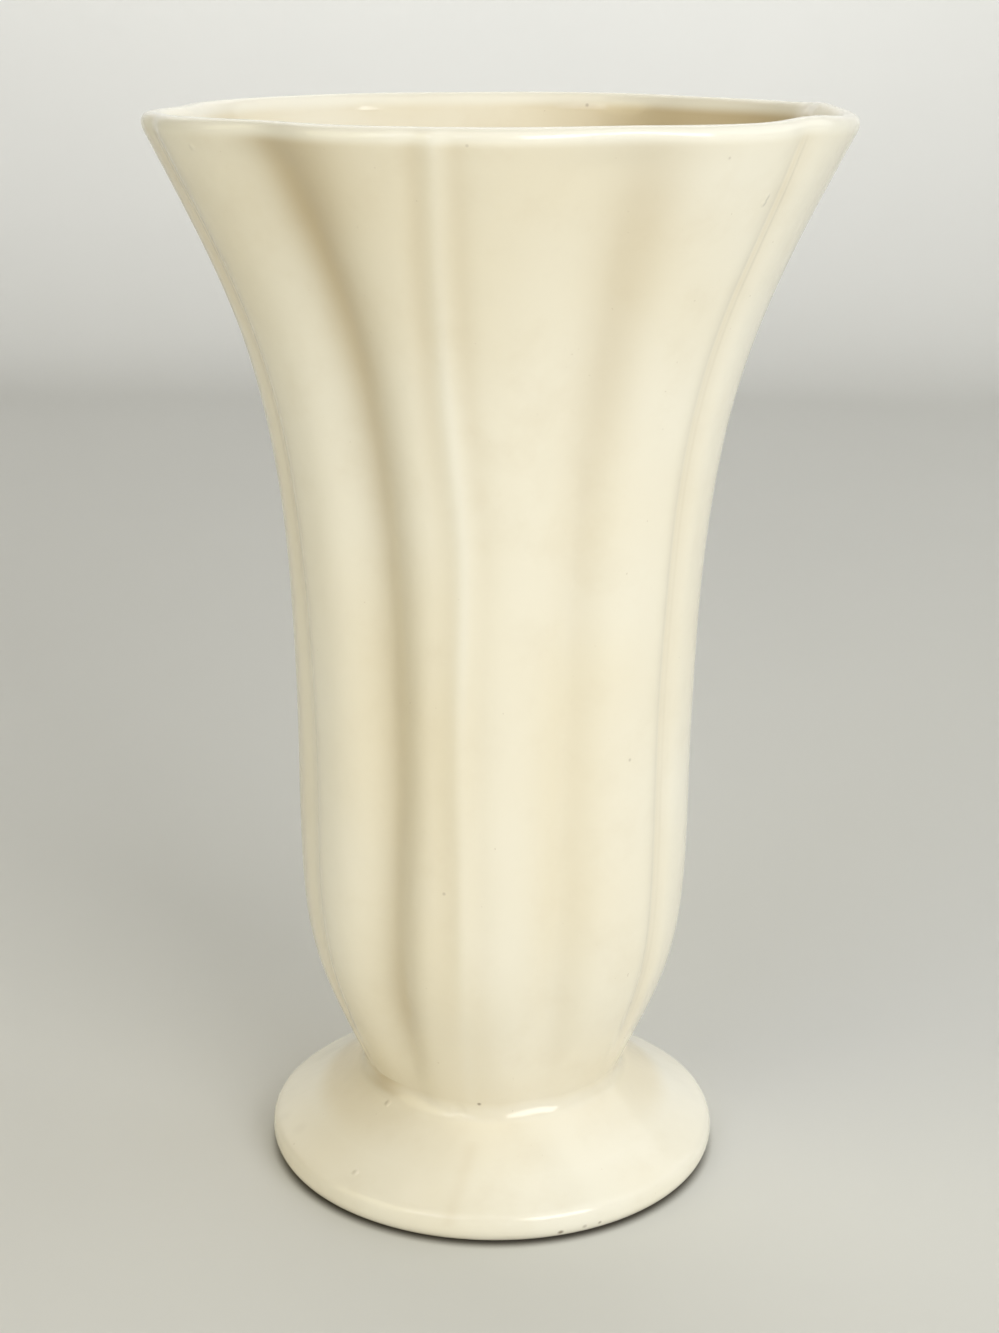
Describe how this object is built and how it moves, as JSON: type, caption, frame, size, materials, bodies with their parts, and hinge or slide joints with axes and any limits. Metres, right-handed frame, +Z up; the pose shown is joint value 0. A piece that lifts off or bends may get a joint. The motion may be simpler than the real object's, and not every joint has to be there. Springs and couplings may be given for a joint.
{
  "type": "trumpet vase",
  "caption": "Cream glazed pottery trumpet vase: a fluted, flaring hollow body with a rolled lip, luted with slip to a round pedestal foot, for holding cut flowers.",
  "frame": {"origin": "on the table, under the middle of the foot", "axes": "+Z up along the vase's axis, -Y towards the side seen in the picture, +X to the right of it"},
  "size_m": [0.1559, 0.1571, 0.2541],
  "materials": {
    "cream_glaze": "gloss",
    "pooled_glaze": "gloss"
  },
  "bodies": {
    "root": {"trumpet_body": "cream_glaze", "slip_joint": "pooled_glaze", "pedestal_foot": "cream_glaze"}
  },
  "joints": []
}
